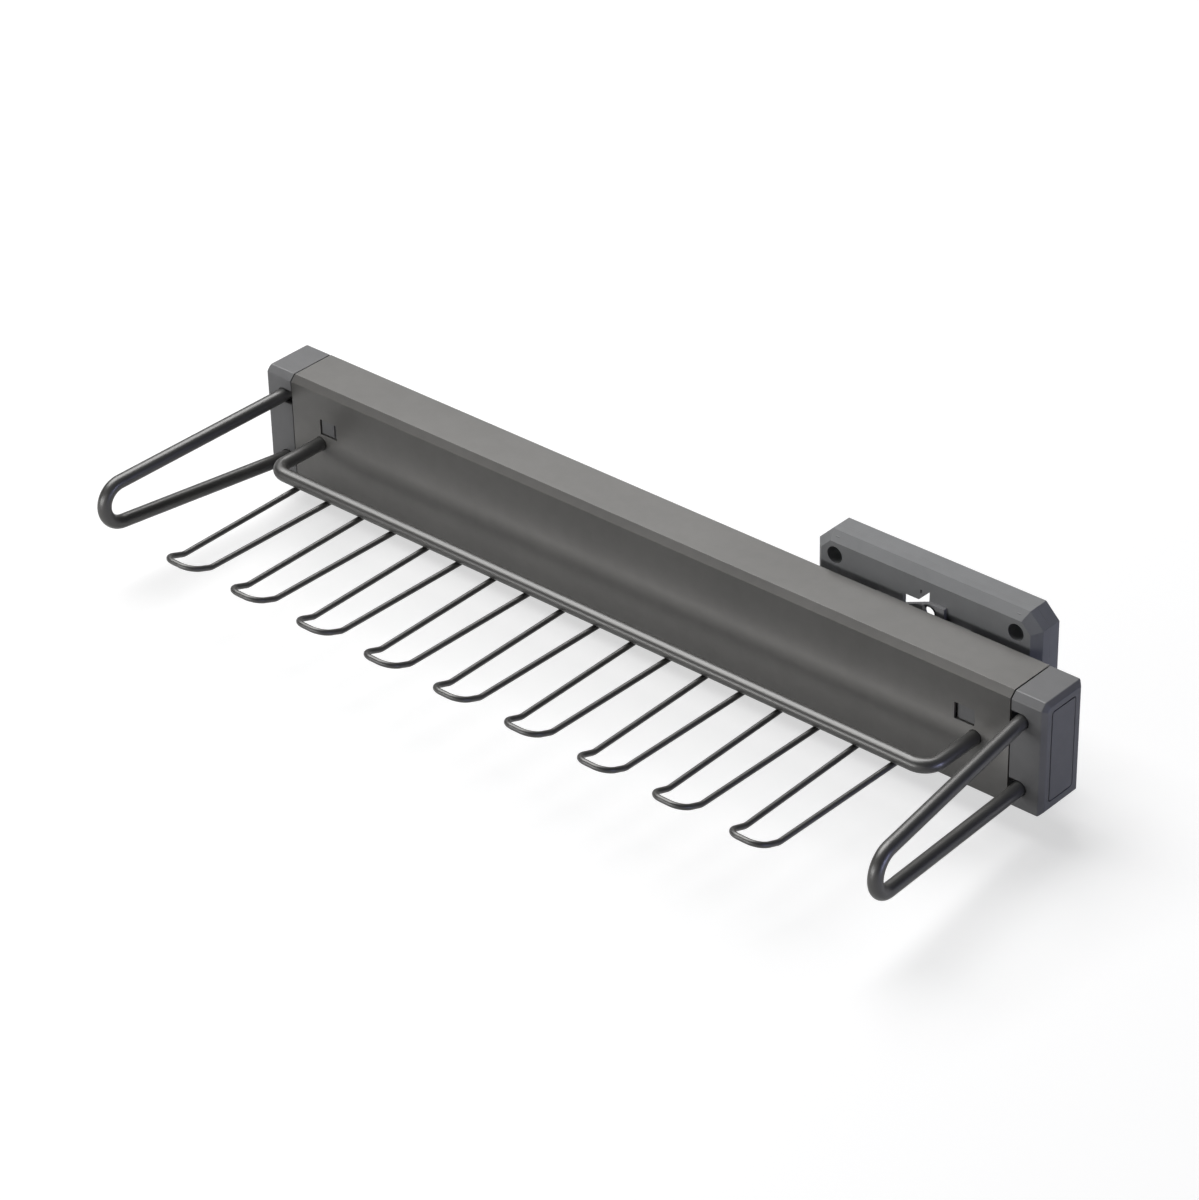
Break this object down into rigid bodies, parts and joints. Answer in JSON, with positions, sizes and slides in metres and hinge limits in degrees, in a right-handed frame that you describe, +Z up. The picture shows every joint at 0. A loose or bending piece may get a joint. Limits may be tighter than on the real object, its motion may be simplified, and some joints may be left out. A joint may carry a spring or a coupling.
{
  "type": "pull-out tie rack",
  "caption": "Wall-plate tie rack: a slim ball-slide housing pulls out past its plate and carries wire tie loops under a bar and a rod loop at each end.",
  "frame": {"origin": "middle of the wall plate's back face, between its four screw holes", "axes": "+X along the rack towards its pull end, +Y into the wall, +Z up"},
  "size_m": [0.4508, 0.1645, 0.0842],
  "materials": {
    "housing_paint": "satin powder coat",
    "cap_plastic": "fine matt texture",
    "rod_paint": "satin powder coat",
    "plate_plastic": "fine matt texture",
    "slide_steel": "zinc plated",
    "rubber": "matt"
  },
  "bodies": {
    "mount": {"mount_plate": "plate_plastic", "slide_bracket": "slide_steel", "bracket_screws": "slide_steel", "slider": "slide_steel", "slider_screws": "slide_steel"},
    "ball_cage": {"cage_upper": "slide_steel", "cage_lower": "slide_steel", "balls_upper": "slide_steel", "balls_lower": "slide_steel"},
    "rack": {"housing": "housing_paint", "rail": "slide_steel", "rail_studs": "slide_steel", "rail_nuts": "slide_steel", "rail_bumper_left": "rubber", "rail_bumper_right": "rubber", "end_cap_left": "cap_plastic", "end_cap_right": "cap_plastic", "end_panel_left": "cap_plastic", "end_panel_right": "cap_plastic", "side_loop_left": "rod_paint", "side_loop_right": "rod_paint", "tie_bar": "rod_paint", "bar_screws": "slide_steel", "tie_loop_1": "rod_paint", "tie_loop_2": "rod_paint", "tie_loop_3": "rod_paint", "tie_loop_4": "rod_paint", "tie_loop_5": "rod_paint", "tie_loop_6": "rod_paint", "tie_loop_7": "rod_paint", "tie_loop_8": "rod_paint", "tie_loop_9": "rod_paint"}
  },
  "joints": [
    {"name": "rack_slide", "type": "slide", "parent": "mount", "child": "rack", "axis": [1, 0, 0], "range_m": [0, 0.264]},
    {"name": "cage_slide", "type": "slide", "parent": "mount", "child": "ball_cage", "axis": [1, 0, 0], "range_m": [0, 0.132]}
  ],
  "couplings": [
    {"joint": "cage_slide", "follows": "rack_slide", "ratio": 0.5}
  ]
}
